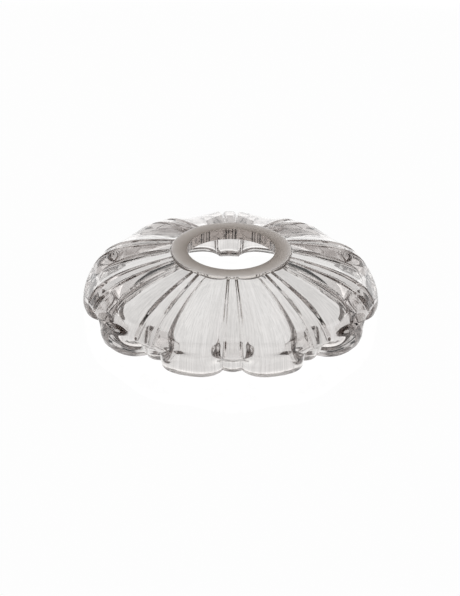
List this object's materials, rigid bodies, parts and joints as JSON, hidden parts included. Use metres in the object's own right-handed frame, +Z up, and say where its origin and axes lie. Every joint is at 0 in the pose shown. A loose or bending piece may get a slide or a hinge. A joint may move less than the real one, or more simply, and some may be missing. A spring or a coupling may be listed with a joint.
{
  "type": "flower frog",
  "caption": "Shallow fluted dome of pressed glass with a scalloped rim and a round central hole that holds flower stems upright.",
  "frame": {"origin": "on the table, under the middle of the hole", "axes": "+Z up along the axis of the hole, +X through the middles of two opposite petals, +Y through the middles of two opposite ribs"},
  "size_m": [0.15, 0.1472, 0.0337],
  "materials": {
    "clear_glass": "fire-polished clear glass with a faint smoky tint, ground matt on the flat ring round the hole"
  },
  "bodies": {
    "root": {"fluted_glass_dome": "clear_glass"}
  },
  "joints": []
}
